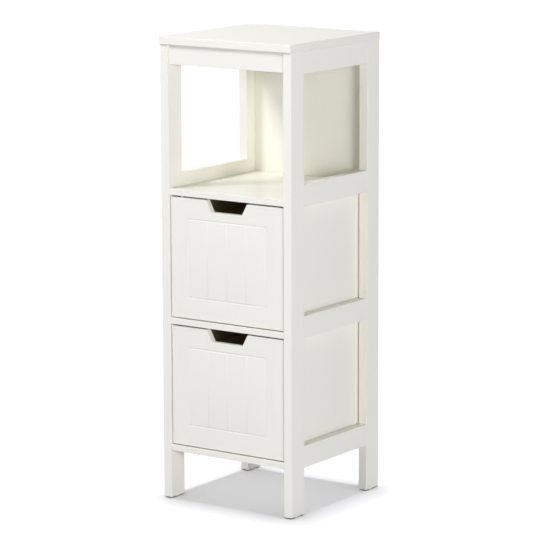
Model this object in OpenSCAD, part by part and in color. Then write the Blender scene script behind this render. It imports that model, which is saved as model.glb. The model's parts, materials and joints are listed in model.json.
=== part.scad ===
// Storage tower for a bathroom: an open compartment over two drawers, between
// two framed sides that stand on four legs. Millimetres, +Z up, the front
// faces -Y, the origin is on the floor under the middle of the top board.

/* [Tower] */
// Width over the top board
tower_w = 300; // [260:1:420]
// Depth over the top board
tower_d = 300; // [260:1:420]
// Height from the floor to the top surface
tower_h = 890; // [840:1:1100]
// Height of the bottom rails above the floor
base_h = 91; // [60:1:130]
// Clear height of a drawer opening
opening_h = 236; // [215:1:255]

/* [Side frames] */
// Thickness of the legs and side rails
frame_t = 18; // [16:0.5:25]
// Width of the legs and side rails
frame_w = 42; // [36:1:60]
// Thickness of a side panel
panel_t = 3; // [2:0.5:5]
// How far a side panel laps behind the legs
panel_lap = 12; // [10:1:20]
// Depth of the boards' grooves for the side panels
panel_sink = 1.5; // [1:0.1:2]
// Gap between a side panel and the frame outside it
panel_seam = 3; // [1:0.1:5]

/* [Boards] */
// Thickness of the top board
top_t = 15; // [14:0.5:25]
// How far the top board stands out past each side frame
top_side = 1; // [0:0.5:10]
// How far the top board stands out past the legs in front
top_front = 3; // [0:0.5:15]
// Thickness of the shelf, divider and bottom boards
board_t = 12; // [12:0.5:18]
// Height of a board's underside above the underside of its rails
board_up = 3.8; // [0:0.1:10]
// How far the boards' front edges stand back from the legs
board_set = 0.5; // [0:0.1:5]
// Height of the front apron
apron_h = 37; // [34:1:60]
// Thickness of the front apron
apron_t = 15; // [14:0.5:20]
// How far the apron stands back from the legs
apron_set = 2.5; // [0:0.5:8]
// Thickness of the back panel
back_t = 3; // [2:0.5:5]
// From the rear of the legs to the back panel's groove
back_in = 11; // [6:0.5:18]
// Depth of the grooves that hold thin panels
groove_d = 5; // [3:0.5:7]

/* [Drawers] */
// Thickness of a drawer front
front_t = 12; // [12:0.5:18]
// How far a drawer front stands back from the legs
front_set = 3; // [1:0.5:8]
// Gap over a drawer front
front_top_gap = 3; // [2.6:0.1:5]
// Gap under a drawer front
front_low_gap = 1.9; // [1.2:0.1:5]
// Gap beside a drawer front
front_side_gap = 2; // [1:0.1:4]
// Thickness of a drawer's sides and back
side_t = 12; // [12:0.5:16]
// Height of a drawer's sides and back
side_h = 180; // [120:1:200]
// Gap between a drawer side and the side panel that guides it
side_gap = 1.7; // [0.5:0.1:4]
// Gap under a drawer's sides, on the board that they run on
run_gap = 0.4; // [0.3:0.1:0.9]
// Gap behind a closed drawer
rear_gap = 2.8; // [1:0.1:10]
// Thickness of a drawer bottom
bottom_t = 3; // [2:0.5:5]
// Height of a drawer bottom above the lower edge of the sides
bottom_up = 10; // [7:0.5:20]

/* [Drawer face] */
// Width of the finger notch at the top edge
notch_top_w = 94; // [76:1:120]
// Width of the finger notch at its floor
notch_floor_w = 70; // [40:1:88]
// Depth of the finger notch
notch_h = 22.8; // [12:0.1:32]
// Radius in the notch's lower corners
notch_r = 3; // [1:0.5:8]
// Margin round the routed panel
vee_margin = 40.5; // [36:0.5:60]
// Width of the groove round the routed panel
vee_w = 5; // [4:0.5:6]
// Depth of the groove round the routed panel
vee_h = 1.4; // [0.8:0.1:2.5]
// Width of the upright grooves between the planks
plank_vee_w = 3; // [1:0.5:3.5]
// Depth of the upright grooves
plank_vee_h = 0.35; // [0.3:0.05:0.7]
// Number of planks in the routed panel
planks = 4; // [2:1:6]

/* [Fittings] */
// Radius of the frame and top dowels
dowel_r = 4; // [3:0.5:5]
// Length of a frame dowel
dowel_l = 30; // [20:1:40]
// Radius of the board and apron dowels
slim_r = 3; // [2:0.5:4]
// Length of a board or apron dowel
slim_l = 20; // [14:1:24]
// Length of a top dowel
top_dowel_l = 20; // [14:1:20]
// Distance of the dowels from the edges of a rail or the apron
dowel_in = 10; // [8:0.5:13]
// Distance of the fittings from the legs
fit_in = 30; // [24:1:50]
// Radius of a cam
cam_r = 7.4; // [6:0.1:7.5]
// From the joint to the middle of a cam
cam_set = 24; // [18:1:30]
// Radius of a cam bolt's thread
thread_r = 2.5; // [2:0.1:3]
// Length of a cam bolt's thread
thread_l = 9; // [7:0.5:9]
// Radius of a cam bolt's shank
shank_r = 3; // [2.5:0.1:3.2]
// Distance of a drawer's fittings from the edges of its sides
drawer_fit_in = 40; // [24:1:55]
// Length of a drawer screw
screw_l = 38; // [28:1:50]
// Radius of a drawer screw's head
screw_head_r = 3.5; // [3:0.1:5]
// Length of a side panel's screw
pin_l = 14; // [12:0.5:18]
// Radius of a side panel's screw
pin_r = 1.5; // [1:0.1:2]
// Radius of a glide
glide_r = 7; // [5:0.5:8]
// Thickness of a glide
glide_h = 2; // [1:0.5:4]
// Radius of the bumper over the upper drawer
bumper_r = 2.6; // [1:0.1:4]
// From the left side frame to the middle of the bumper
bumper_in = 26.5; // [21:0.5:60]
// Gap between the bumper and the upper drawer front
bumper_gap = 0.5; // [0.3:0.1:1]

/* [Hidden] */
$fn = 48;

// Finishes
paint = [0.93, 0.925, 0.905];
inside = [0.87, 0.80, 0.60];
beech = [0.80, 0.66, 0.47];
zinc = [0.70, 0.71, 0.72];
nylon = [0.90, 0.90, 0.89];

// Clearances: round parts in their holes, thin panels in their grooves,
// pieces that only meet edge to edge, and how far a cut runs past a face
fit = 0.1;
slip = 0.2;
seat = 0.3;
past = 1;

// Levels: 0 bottom, 1 divider, 2 shelf, 3 top
SHELF = 2;
TOP = 3;
pitch = opening_h + board_t;
leg_top = tower_h - top_t;
function rail_z(i) = i < TOP ? base_h + i * pitch : leg_top - frame_w;
function board_z(i) = base_h + i * pitch + board_up;

// Frame faces
out_x = tower_w / 2 - top_side;
in_x = out_x - frame_t;
mid_x = out_x - frame_t / 2;
front_y = -tower_d / 2 + top_front;
rear_y = tower_d / 2;
rail_y0 = front_y + frame_w;
rail_y1 = rear_y - frame_w;

// Side panels stand in a groove of one board and end in one of the next
panel_x = in_x - panel_seam;
panel_y0 = rail_y0 - panel_lap;
panel_y1 = rail_y1 + panel_lap;
panel_h = opening_h + 2 * (panel_sink - seat);

// The back panel stands at the rear of a groove that is one seam wider
back_seam = 0.8;
back_y1 = rear_y - back_in - slip;
back_y0 = back_y1 - back_t;
back_x = in_x + groove_d - seat;

// Drawers
face_y0 = front_y + front_set;
face_y1 = face_y0 + front_t;
face_x = in_x - front_side_gap;
face_h = opening_h - front_top_gap - front_low_gap;
box_x = panel_x - panel_t - side_gap;
box_in_x = box_x - side_t;
box_y1 = back_y0 - rear_gap;
function face_z(i) = board_z(i) + board_t + front_low_gap;
function box_z(i) = board_z(i) + board_t + run_gap;
function floor_z(i) = box_z(i) + bottom_up;

// Distances of the apron's fittings from the leg tops, its cam over its dowel,
// and of the top dowels from the legs
apron_cam_in = 11;
apron_dowel_in = apron_h - dowel_in;
top_dowel_in = 2 * fit_in;

// Cams and bolts
cam_over = 3.4;
cam_sunk = 0.2;
neck_r = 1.6;
bolt_head_r = 2.6;
bolt_head_l = 2.5;
bolt_stop = cam_r + 0.6;
thread_spare = 0.4;
cross_w = 1.2;
cross_l = 8;
cross_d = 1.5;

// Screws, nails and the glides' edge
screw_r = 2.5;
screw_head_l = 3;
hex_r = 1.8;
hex_d = 2;
pin_head_r = 2 * pin_r;
pin_in = 6;
pin_cross_w = 0.6;
nail_r = 1.1;
nail_l = 12;
dowel_nose = 1;

// ---- building blocks ----

// A box from its low corner to its high corner
module block(a, b) {
    translate(a)
        cube(b - a);
}

// A box on one side of the tower, s = -1 left or 1 right
module side_block(s, a, b) {
    if (s > 0)
        block(a, b);
    else
        block([-b.x, a.y, a.z], [-a.x, b.y, b.z]);
}

// A round rod along X
module rod_x(x0, x1, r) {
    translate([x0, 0, 0])
        rotate([0, 90, 0])
            cylinder(r = r, h = x1 - x0);
}

// A dowel across a joint, along X, with tapered noses
module dowel(r, l) {
    rotate([0, -90, 0])
        rotate_extrude()
            polygon([
                [0, -l / 2], [r - dowel_nose, -l / 2], [r, -l / 2 + dowel_nose],
                [r, l / 2 - dowel_nose], [r - dowel_nose, l / 2], [0, l / 2]
            ]);
}

module dowel_hole(r, l) {
    rod_x(-l / 2 - seat, l / 2 + seat, r + fit);
}

// Cam joint: the joint face is at X = 0, the board that holds the cam lies on
// -X with its mid plane at Z = 0, and the cam goes in from its -Z face.
module cam(t) {
    h = t / 2 - cam_sunk + cam_over;
    translate([-cam_set, 0, cam_over - h])
        difference() {
            cylinder(r = cam_r, h = h);
            // seat of the bolt's head, and the way in for its neck
            translate([-bolt_head_l / 2 - seat, -bolt_head_r - seat, h - cam_over - bolt_head_r - seat])
                cube([bolt_head_l + 2 * seat, 2 * (bolt_head_r + seat), 2 * (bolt_head_r + seat)]);
            translate([0, -neck_r - seat, h - cam_over - neck_r - seat])
                cube([cam_r + past, 2 * (neck_r + seat), 2 * (neck_r + seat)]);
            // cross slot
            for (a = [0, 90])
                rotate(a)
                    translate([-cross_l / 2, -cross_w / 2, -past])
                        cube([cross_l, cross_w, cross_d + past]);
        }
}

module cam_bolt() {
    rod_x(0, thread_l, thread_r);
    rod_x(bolt_stop - cam_set, 0, shank_r);
    rod_x(-cam_set, bolt_stop - cam_set, neck_r);
    rod_x(-cam_set - bolt_head_l / 2, -cam_set + bolt_head_l / 2, bolt_head_r);
}

module cam_holes(t) {
    translate([-cam_set, 0, -t / 2 - past])
        cylinder(r = cam_r + fit, h = t / 2 + past + cam_over + slip);
    rod_x(-cam_set, past, shank_r + fit);
}

module bolt_hole() {
    rod_x(-past, thread_l + thread_spare, thread_r + fit);
}

// ---- where the fittings go ----

// Joints between the legs and the rail at level i, on side s
module at_rail_dowels(s, i) {
    for (y = [rail_y0, rail_y1], z = [dowel_in, frame_w - dowel_in])
        translate([s * mid_x, y, rail_z(i) + z])
            rotate([0, 0, 90])
                children();
}

// Cams of the board at level i, on side s
module at_board_cams(s, i) {
    for (y = [rail_y0 + fit_in, rail_y1 - fit_in])
        translate([s * in_x, y, board_z(i) + board_t / 2])
            rotate([0, 0, s > 0 ? 0 : 180])
                children();
}

// Dowel of the board at level i, on side s
module at_board_dowel(s, i) {
    translate([s * in_x, (rail_y0 + rail_y1) / 2, board_z(i) + board_t / 2])
        children();
}

// Ends of the apron; the cam sits above the dowel and opens to the rear
module at_apron(s, z_in) {
    translate([s * in_x, front_y + apron_set + apron_t / 2, leg_top - z_in])
        rotate([90, 0, 0])
            rotate([0, 0, s > 0 ? 0 : 180])
                children();
}

// Top joints of side s, at distance in from the legs
module at_top(s, in) {
    for (y = [rail_y0 + in, rail_y1 - in])
        translate([s * mid_x, y, leg_top])
            rotate([0, -90, s > 0 ? 180 : 0])
                children();
}

// Screws of a side panel: near the corners of panel i on side s
module at_pins(s, i) {
    z0 = board_z(i) + board_t;
    for (y = [panel_y0 + pin_in, panel_y1 - pin_in], z = [z0 + fit_in, z0 + opening_h - fit_in])
        translate([s * (panel_x - panel_t), y, z])
            rotate([0, 0, s > 0 ? 0 : 180])
                children();
}

// Feet
module at_feet() {
    for (s = [-1, 1], y = [front_y + frame_w / 2, rear_y - frame_w / 2])
        translate([s * mid_x, y, 0])
            children();
}

// Cams between the front and the side s of drawer i
module at_drawer_cams(s, i) {
    for (z = [drawer_fit_in, side_h - drawer_fit_in])
        translate([s * (box_x - side_t / 2), face_y1, box_z(i) + z])
            rotate([s > 0 ? -90 : 90, 0, -90])
                children();
}

// Screws through the side s into the back of drawer i
module at_drawer_screws(s, i) {
    for (z = [drawer_fit_in, side_h - drawer_fit_in])
        translate([s * box_x, box_y1 - side_t / 2, box_z(i) + z])
            rotate([0, 0, s > 0 ? 180 : 0])
                children();
}

// ---- carcass ----

module leg(s, rear) {
    y0 = rear ? rear_y - frame_w : front_y;
    difference() {
        side_block(s, [in_x, y0, glide_h], [out_x, y0 + frame_w, leg_top]);
        for (i = [0 : TOP])
            at_rail_dowels(s, i)
                dowel_hole(dowel_r, dowel_l);
        for (i = [0, 1])
            at_pins(s, i)
                pin_hole();
        at_feet()
            cylinder(r = nail_r + fit, h = glide_h + nail_l + seat);
        if (rear)
            side_block(s, [in_x - past, back_y0 - back_seam, base_h],
                [in_x + groove_d, rear_y - back_in, leg_top + past]);
        else {
            at_apron(s, apron_cam_in)
                bolt_hole();
            at_apron(s, apron_dowel_in)
                dowel_hole(slim_r, slim_l);
        }
    }
}

module rail(s, i) {
    difference() {
        side_block(s, [in_x, rail_y0, rail_z(i)], [out_x, rail_y1, rail_z(i) + frame_w]);
        at_rail_dowels(s, i)
            dowel_hole(dowel_r, dowel_l);
        if (i < TOP) {
            at_board_cams(s, i)
                bolt_hole();
            at_board_dowel(s, i)
                dowel_hole(slim_r, slim_l);
        } else {
            at_top(s, fit_in)
                cam_holes(frame_t);
            at_top(s, top_dowel_in)
                dowel_hole(dowel_r, top_dowel_l);
        }
    }
}

module side_panel(s, i) {
    z0 = board_z(i) + board_t - panel_sink + seat;
    difference() {
        side_block(s, [panel_x - panel_t, panel_y0, z0], [panel_x, panel_y1, z0 + panel_h]);
        at_pins(s, i)
            pin_hole();
    }
}

// Groove of a side panel in a board, from one level up to another
module panel_groove(s, z0, z1) {
    side_block(s, [panel_x - panel_t - slip, panel_y0 - seat, z0], [panel_x + slip, panel_y1 + seat, z1]);
}

module board(i) {
    difference() {
        block([-in_x, front_y + board_set, board_z(i)], [in_x, back_y0 - seat, board_z(i) + board_t]);
        for (s = [-1, 1]) {
            if (i < SHELF)
                panel_groove(s, board_z(i) + board_t - panel_sink, board_z(i) + board_t + past);
            if (i > 0)
                panel_groove(s, board_z(i) - past, board_z(i) + panel_sink);
            at_board_cams(s, i)
                cam_holes(board_t);
            at_board_dowel(s, i)
                dowel_hole(slim_r, slim_l);
        }
    }
}

module top_board() {
    color(paint)
        difference() {
            block([-tower_w / 2, -tower_d / 2, leg_top], [tower_w / 2, tower_d / 2, tower_h]);
            for (s = [-1, 1]) {
                at_top(s, fit_in)
                    bolt_hole();
                at_top(s, top_dowel_in)
                    dowel_hole(dowel_r, top_dowel_l);
            }
        }
}

module front_apron() {
    y0 = front_y + apron_set;
    color(paint)
        difference() {
            block([-in_x, y0, leg_top - apron_h], [in_x, y0 + apron_t, leg_top]);
            for (s = [-1, 1]) {
                at_apron(s, apron_cam_in)
                    cam_holes(apron_t);
                at_apron(s, apron_dowel_in)
                    dowel_hole(slim_r, slim_l);
            }
        }
}

module back_panel() {
    color(paint)
        block([-back_x, back_y0, base_h + seat], [back_x, back_y1, leg_top - seat]);
}

module front_left_leg() { color(paint) leg(-1, false); }
module front_right_leg() { color(paint) leg(1, false); }
module rear_left_leg() { color(paint) leg(-1, true); }
module rear_right_leg() { color(paint) leg(1, true); }

module left_bottom_rail() { color(paint) rail(-1, 0); }
module left_middle_rail() { color(paint) rail(-1, 1); }
module left_shelf_rail() { color(paint) rail(-1, SHELF); }
module left_top_rail() { color(paint) rail(-1, TOP); }
module right_bottom_rail() { color(paint) rail(1, 0); }
module right_middle_rail() { color(paint) rail(1, 1); }
module right_shelf_rail() { color(paint) rail(1, SHELF); }
module right_top_rail() { color(paint) rail(1, TOP); }

module left_lower_panel() { color(paint) side_panel(-1, 0); }
module left_upper_panel() { color(paint) side_panel(-1, 1); }
module right_lower_panel() { color(paint) side_panel(1, 0); }
module right_upper_panel() { color(paint) side_panel(1, 1); }

module bottom_board() { color(paint) board(0); }
module divider_board() { color(paint) board(1); }
module open_shelf() { color(paint) board(SHELF); }

// ---- fittings of the carcass ----

module frame_dowels(s) {
    color(beech)
        for (i = [0 : TOP])
            at_rail_dowels(s, i)
                dowel(dowel_r, dowel_l);
}

module left_frame_dowels() { frame_dowels(-1); }
module right_frame_dowels() { frame_dowels(1); }

module board_dowels() {
    color(beech)
        for (s = [-1, 1], i = [0 : SHELF])
            at_board_dowel(s, i)
                dowel(slim_r, slim_l);
}

module board_cams() {
    color(zinc)
        for (s = [-1, 1], i = [0 : SHELF])
            at_board_cams(s, i)
                cam(board_t);
}

module board_cam_bolts() {
    color(zinc)
        for (s = [-1, 1], i = [0 : SHELF])
            at_board_cams(s, i)
                cam_bolt();
}

module apron_dowels() {
    color(beech)
        for (s = [-1, 1])
            at_apron(s, apron_dowel_in)
                dowel(slim_r, slim_l);
}

module apron_cams() {
    color(zinc)
        for (s = [-1, 1])
            at_apron(s, apron_cam_in)
                cam(apron_t);
}

module apron_cam_bolts() {
    color(zinc)
        for (s = [-1, 1])
            at_apron(s, apron_cam_in)
                cam_bolt();
}

module top_dowels() {
    color(beech)
        for (s = [-1, 1])
            at_top(s, top_dowel_in)
                dowel(dowel_r, top_dowel_l);
}

module top_cams() {
    color(zinc)
        for (s = [-1, 1])
            at_top(s, fit_in)
                cam(frame_t);
}

module top_cam_bolts() {
    color(zinc)
        for (s = [-1, 1])
            at_top(s, fit_in)
                cam_bolt();
}

// A countersunk screw along X, its head at X = 0
module pin() {
    difference() {
        union() {
            rotate([0, 90, 0])
                cylinder(r1 = pin_head_r, r2 = pin_r, h = pin_head_r - pin_r);
            rod_x(pin_head_r - pin_r, pin_l, pin_r);
        }
        for (a = [0, 90])
            rotate([a, 0, 0])
                translate([-past, -pin_r, -pin_cross_w / 2])
                    cube([past + pin_r / 2, 2 * pin_r, pin_cross_w]);
    }
}

module pin_hole() {
    rotate([0, 90, 0])
        cylinder(r1 = pin_head_r + fit, r2 = pin_r + fit, h = pin_head_r - pin_r);
    rod_x(-past, 0, pin_head_r + fit);
    rod_x(0, pin_l + seat, pin_r + fit);
}

module panel_screws() {
    color(zinc)
        for (s = [-1, 1], i = [0, 1])
            at_pins(s, i)
                pin();
}

module foot_glides() {
    color(nylon)
        at_feet() {
            cylinder(r = glide_r, h = glide_h);
            cylinder(r = nail_r, h = glide_h + nail_l);
        }
}

module shelf_bumper() {
    z1 = board_z(SHELF);
    z0 = face_z(1) + face_h + bumper_gap;
    color(nylon)
        translate([bumper_in - in_x, face_y0 + bumper_r, z0])
            cylinder(r = bumper_r, h = z1 - z0);
}

// ---- drawers; i = 0 lower, 1 upper ----

// Outline of the finger notch, from its top edge at Y = 0 down
module notch_outline() {
    k = (notch_top_w - notch_floor_w) / 2 / notch_h;
    n = sqrt(1 + k * k);
    cx = notch_floor_w / 2 + notch_r * (k - n);
    tx = cx + notch_r / n;
    tz = -notch_h + notch_r - notch_r * k / n;
    top_x = notch_top_w / 2 + k * past;
    polygon([
        [-top_x, past], [-tx, tz], [-cx, -notch_h],
        [cx, -notch_h], [tx, tz], [top_x, past]
    ]);
    for (s = [-1, 1])
        translate([s * cx, notch_r - notch_h])
            circle(r = notch_r);
}

// A routed groove of length l along X, width w and depth h, in the plane Y = 0
module vee(l, w, h) {
    rotate([90, 0, 90])
        linear_extrude(height = l, center = true)
            polygon([[-h, 0], [0, -w / 2], [h, 0], [0, w / 2]]);
}

// The same with mitred ends that stand out on its -Z side
module mitred_vee(l, w, h) {
    intersection() {
        vee(l + w, w, h);
        rotate([90, 0, 0])
            linear_extrude(height = 2 * w, center = true)
                polygon([
                    [-(l + w) / 2, -w / 2], [(l + w) / 2, -w / 2],
                    [(l - w) / 2, w / 2], [-(l - w) / 2, w / 2]
                ]);
    }
}

// The routed panel: four mitred grooves and the upright grooves between them
module vees(i) {
    w = 2 * (face_x - vee_margin);
    h = face_h - 2 * vee_margin;
    translate([0, face_y0, face_z(i) + face_h / 2]) {
        for (a = [0, 180])
            rotate([0, a, 0]) {
                translate([0, 0, -h / 2])
                    mitred_vee(w, vee_w, vee_h);
                translate([-w / 2, 0, 0])
                    rotate([0, 90, 0])
                        mitred_vee(h, vee_w, vee_h);
            }
        for (j = [1 : planks - 1])
            translate([-w / 2 + j * w / planks, 0, 0])
                rotate([0, 90, 0])
                    vee(h, plank_vee_w, plank_vee_h);
    }
}

// Space of the drawer bottom, wider by g on its faces and d past its edges
module drawer_floor(i, g, d) {
    x = box_in_x + groove_d - seat + d;
    y0 = face_y1 - groove_d + seat - d;
    y1 = box_y1 - side_t + groove_d - seat + d;
    block([-x, y0, floor_z(i) - g], [x, y1, floor_z(i) + bottom_t + g]);
}

module drawer_front(i) {
    color(paint)
        difference() {
            block([-face_x, face_y0, face_z(i)], [face_x, face_y1, face_z(i) + face_h]);
            translate([0, face_y1 + past, face_z(i) + face_h])
                rotate([90, 0, 0])
                    linear_extrude(height = front_t + 2 * past)
                        notch_outline();
            vees(i);
            drawer_floor(i, slip, seat);
            for (s = [-1, 1])
                at_drawer_cams(s, i)
                    bolt_hole();
        }
}

module drawer_side(s, i) {
    color(inside)
        difference() {
            side_block(s, [box_in_x, face_y1, box_z(i)], [box_x, box_y1, box_z(i) + side_h]);
            drawer_floor(i, slip, seat);
            at_drawer_cams(s, i)
                cam_holes(side_t);
            at_drawer_screws(s, i)
                screw_hole();
        }
}

module drawer_back(i) {
    color(inside)
        difference() {
            block([-box_in_x, box_y1 - side_t, box_z(i)], [box_in_x, box_y1, box_z(i) + side_h]);
            drawer_floor(i, slip, seat);
            for (s = [-1, 1])
                at_drawer_screws(s, i)
                    screw_hole();
        }
}

module drawer_bottom(i) {
    color(inside)
        drawer_floor(i, 0, 0);
}

module drawer_cams(i) {
    color(zinc)
        for (s = [-1, 1])
            at_drawer_cams(s, i)
                cam(side_t);
}

module drawer_cam_bolts(i) {
    color(zinc)
        for (s = [-1, 1])
            at_drawer_cams(s, i)
                cam_bolt();
}

// A flat-headed screw along X with a hexagon socket, its head at X = 0
module screw() {
    difference() {
        union() {
            rod_x(slip, screw_head_l, screw_head_r);
            rod_x(screw_head_l, screw_l, screw_r);
        }
        translate([-past, 0, 0])
            rotate([0, 90, 0])
                cylinder(r = hex_r, h = past + hex_d, $fn = 6);
    }
}

module screw_hole() {
    rod_x(-past, screw_head_l + fit, screw_head_r + fit);
    rod_x(0, screw_l + seat, screw_r + fit);
}

module drawer_screws(i) {
    color(zinc)
        for (s = [-1, 1])
            at_drawer_screws(s, i)
                screw();
}

module lower_drawer_front() { drawer_front(0); }
module lower_drawer_left_side() { drawer_side(-1, 0); }
module lower_drawer_right_side() { drawer_side(1, 0); }
module lower_drawer_back() { drawer_back(0); }
module lower_drawer_bottom() { drawer_bottom(0); }
module lower_drawer_cams() { drawer_cams(0); }
module lower_drawer_cam_bolts() { drawer_cam_bolts(0); }
module lower_drawer_screws() { drawer_screws(0); }
module upper_drawer_front() { drawer_front(1); }
module upper_drawer_left_side() { drawer_side(-1, 1); }
module upper_drawer_right_side() { drawer_side(1, 1); }
module upper_drawer_back() { drawer_back(1); }
module upper_drawer_bottom() { drawer_bottom(1); }
module upper_drawer_cams() { drawer_cams(1); }
module upper_drawer_cam_bolts() { drawer_cam_bolts(1); }
module upper_drawer_screws() { drawer_screws(1); }

top_board();
front_left_leg();
front_right_leg();
rear_left_leg();
rear_right_leg();
left_bottom_rail();
left_middle_rail();
left_shelf_rail();
left_top_rail();
right_bottom_rail();
right_middle_rail();
right_shelf_rail();
right_top_rail();
left_lower_panel();
left_upper_panel();
right_lower_panel();
right_upper_panel();
front_apron();
back_panel();
bottom_board();
divider_board();
open_shelf();
left_frame_dowels();
right_frame_dowels();
board_dowels();
board_cams();
board_cam_bolts();
apron_dowels();
apron_cams();
apron_cam_bolts();
top_dowels();
top_cams();
top_cam_bolts();
panel_screws();
foot_glides();
shelf_bumper();
lower_drawer_front();
lower_drawer_left_side();
lower_drawer_right_side();
lower_drawer_back();
lower_drawer_bottom();
lower_drawer_cams();
lower_drawer_cam_bolts();
lower_drawer_screws();
upper_drawer_front();
upper_drawer_left_side();
upper_drawer_right_side();
upper_drawer_back();
upper_drawer_bottom();
upper_drawer_cams();
upper_drawer_cam_bolts();
upper_drawer_screws();
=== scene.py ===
"""A white storage tower for a bathroom: lacquered boards, drawers and fittings."""

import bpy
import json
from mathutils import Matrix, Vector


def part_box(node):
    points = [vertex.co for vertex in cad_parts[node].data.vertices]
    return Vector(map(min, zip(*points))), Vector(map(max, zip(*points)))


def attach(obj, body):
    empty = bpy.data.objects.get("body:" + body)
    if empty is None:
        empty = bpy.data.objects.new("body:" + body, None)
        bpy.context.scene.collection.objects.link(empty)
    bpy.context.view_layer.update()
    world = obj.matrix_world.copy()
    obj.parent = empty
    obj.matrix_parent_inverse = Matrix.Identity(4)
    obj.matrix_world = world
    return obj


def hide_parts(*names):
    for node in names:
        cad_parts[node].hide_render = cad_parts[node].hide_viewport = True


bl_info = {
    "name": "Bathroom Storage Tower",
    "version": (1, 0, 0),
    "blender": (4, 5, 0),
    "location": "3D View > Sidebar > Tower",
    "description": "Models and finishes the boards, drawers and fittings of a storage tower",
    "category": "Add Mesh",
}

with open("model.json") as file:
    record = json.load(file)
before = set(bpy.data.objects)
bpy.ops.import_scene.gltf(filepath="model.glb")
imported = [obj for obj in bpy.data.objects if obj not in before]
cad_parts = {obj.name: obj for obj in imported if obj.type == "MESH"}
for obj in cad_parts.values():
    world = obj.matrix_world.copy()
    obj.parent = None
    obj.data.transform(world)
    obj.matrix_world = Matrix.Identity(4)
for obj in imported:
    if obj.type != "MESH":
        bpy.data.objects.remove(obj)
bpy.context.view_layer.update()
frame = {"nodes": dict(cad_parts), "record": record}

import json
from math import atan2, pi, radians, sqrt, tan

import bmesh
import bpy
from bpy.props import FloatProperty, FloatVectorProperty, IntProperty, PointerProperty
from mathutils import Matrix, Vector

MM = 0.001
NEAR = 0.01 * MM            # two places closer than this are the same
X, Y, Z = 0, 1, 2

PAST = 1 * MM               # how far a cutter stands out of what it cuts
FIT = 0.1 * MM              # radial play of a fitting in its hole
SEAT = 0.3 * MM             # play past the end of a fitting or a panel
SLIP = 0.2 * MM             # play on the face of a panel in its groove or of a cam in its hole
BACK_SEAM = 0.8 * MM        # play in front of the back panel
NAIL_BORE = 1.2 * MM        # radius of a hole for a glide's nail
PANEL_BORE = 1.6 * MM       # radius of a hole for a side panel's screw
SINK_RADIUS = 3.3 * MM      # radius of its countersink, a little outside the panel
SINK_DEPTH = 1.7 * MM       # depth of that countersink
SINK_END = 1.4 * MM         # radius at its end, inside the hole
SCREW_BORE = 2.6 * MM       # radius of a hole for a drawer screw
HEAD_BORE = 3.6 * MM        # radius of the recess for its head
HEAD_DEPTH = 2.9 * MM       # depth of that recess

SHARP = radians(35)         # edges that turn more than this are eased
ROUNDED = radians(40)       # edges that turn less than this are shaded as round
PARALLEL = 0.9999           # cosine over which an edge runs along an axis
ROUND = 32                  # sides of a drilled hole
EASE_STEPS = 3              # facets across an eased edge
TOP_STEPS = 4               # the same on the top board
NOTCH_STEPS = 6             # the same in the corners of a finger notch

SUBPARTS = {part["node"]: part["material_slot"] for part in frame["record"]["subparts"]}
BODY = {
    node: body
    for body, nodes in frame["record"]["behaviour"]["bodies"].items()
    for node in nodes
}

LEGS = ("front_left_leg", "front_right_leg", "rear_left_leg", "rear_right_leg")
LEVELS = ("bottom", "middle", "shelf", "top")
RAILS = tuple(f"{side}_{level}_rail" for side in ("left", "right") for level in LEVELS)
SIDE_PANELS = tuple(
    f"{side}_{level}_panel" for side in ("left", "right") for level in ("lower", "upper")
)
BOARDS = ("bottom_board", "divider_board", "open_shelf")
DRAWERS = ("lower_drawer", "upper_drawer")
FITTING_SLOTS = ("beech", "zinc_plated_steel", "die_cast_zinc", "white_nylon")

# Softboxes: name, degrees from the front towards the right, degrees up, and metres across
LAMPS = (
    ("key", -37, 48, 1.5),
    ("fill", 60, 0, 3),
    ("small", 55, 10, 1),
    ("front", 45, 0, 4),
    ("side", -90, 45, 4),
    ("back", 180, 5, 3),
)
LAMP_AWAY = 5               # from the softboxes to the middle of the tower
TOWER_MIDDLE = Vector((0, 0, 0.45))
WASH_PLACE = (-0.049, 0.049, 2)     # each sun lamp shines from here towards the origin
VEIL_PLACE = (0, 0, 2)
WASH_ANGLE = radians(8)     # softens the edge of the tower's shadow
VEIL_ANGLE = radians(120)   # light from nearly the whole sky
FLOOR_WIDTH = 30
SENSOR_WIDTH = 36           # in millimetres
PAPER_SEEN = (0.7, 0.7, 0.73)       # colour of the paper to the camera, under these lamps
PAPER_THROWN = (0.222, 0.238)       # share of the light that it throws back, least and most

# Sockets of a colour mix, and the one that it gives out
FACTOR, COLOUR_A, COLOUR_B, MIXED = 0, 6, 7, 2


def linear(colour):
    """An sRGB hex colour as the linear red, green and blue that shaders use."""
    channels = (int(colour[i:i + 2], 16) / 255 for i in (0, 2, 4))
    return [c / 12.92 if c <= 0.04045 else ((c + 0.055) / 1.055) ** 2.4 for c in channels]


# ---- sizes, finishes and stage that a user would change ----

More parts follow.
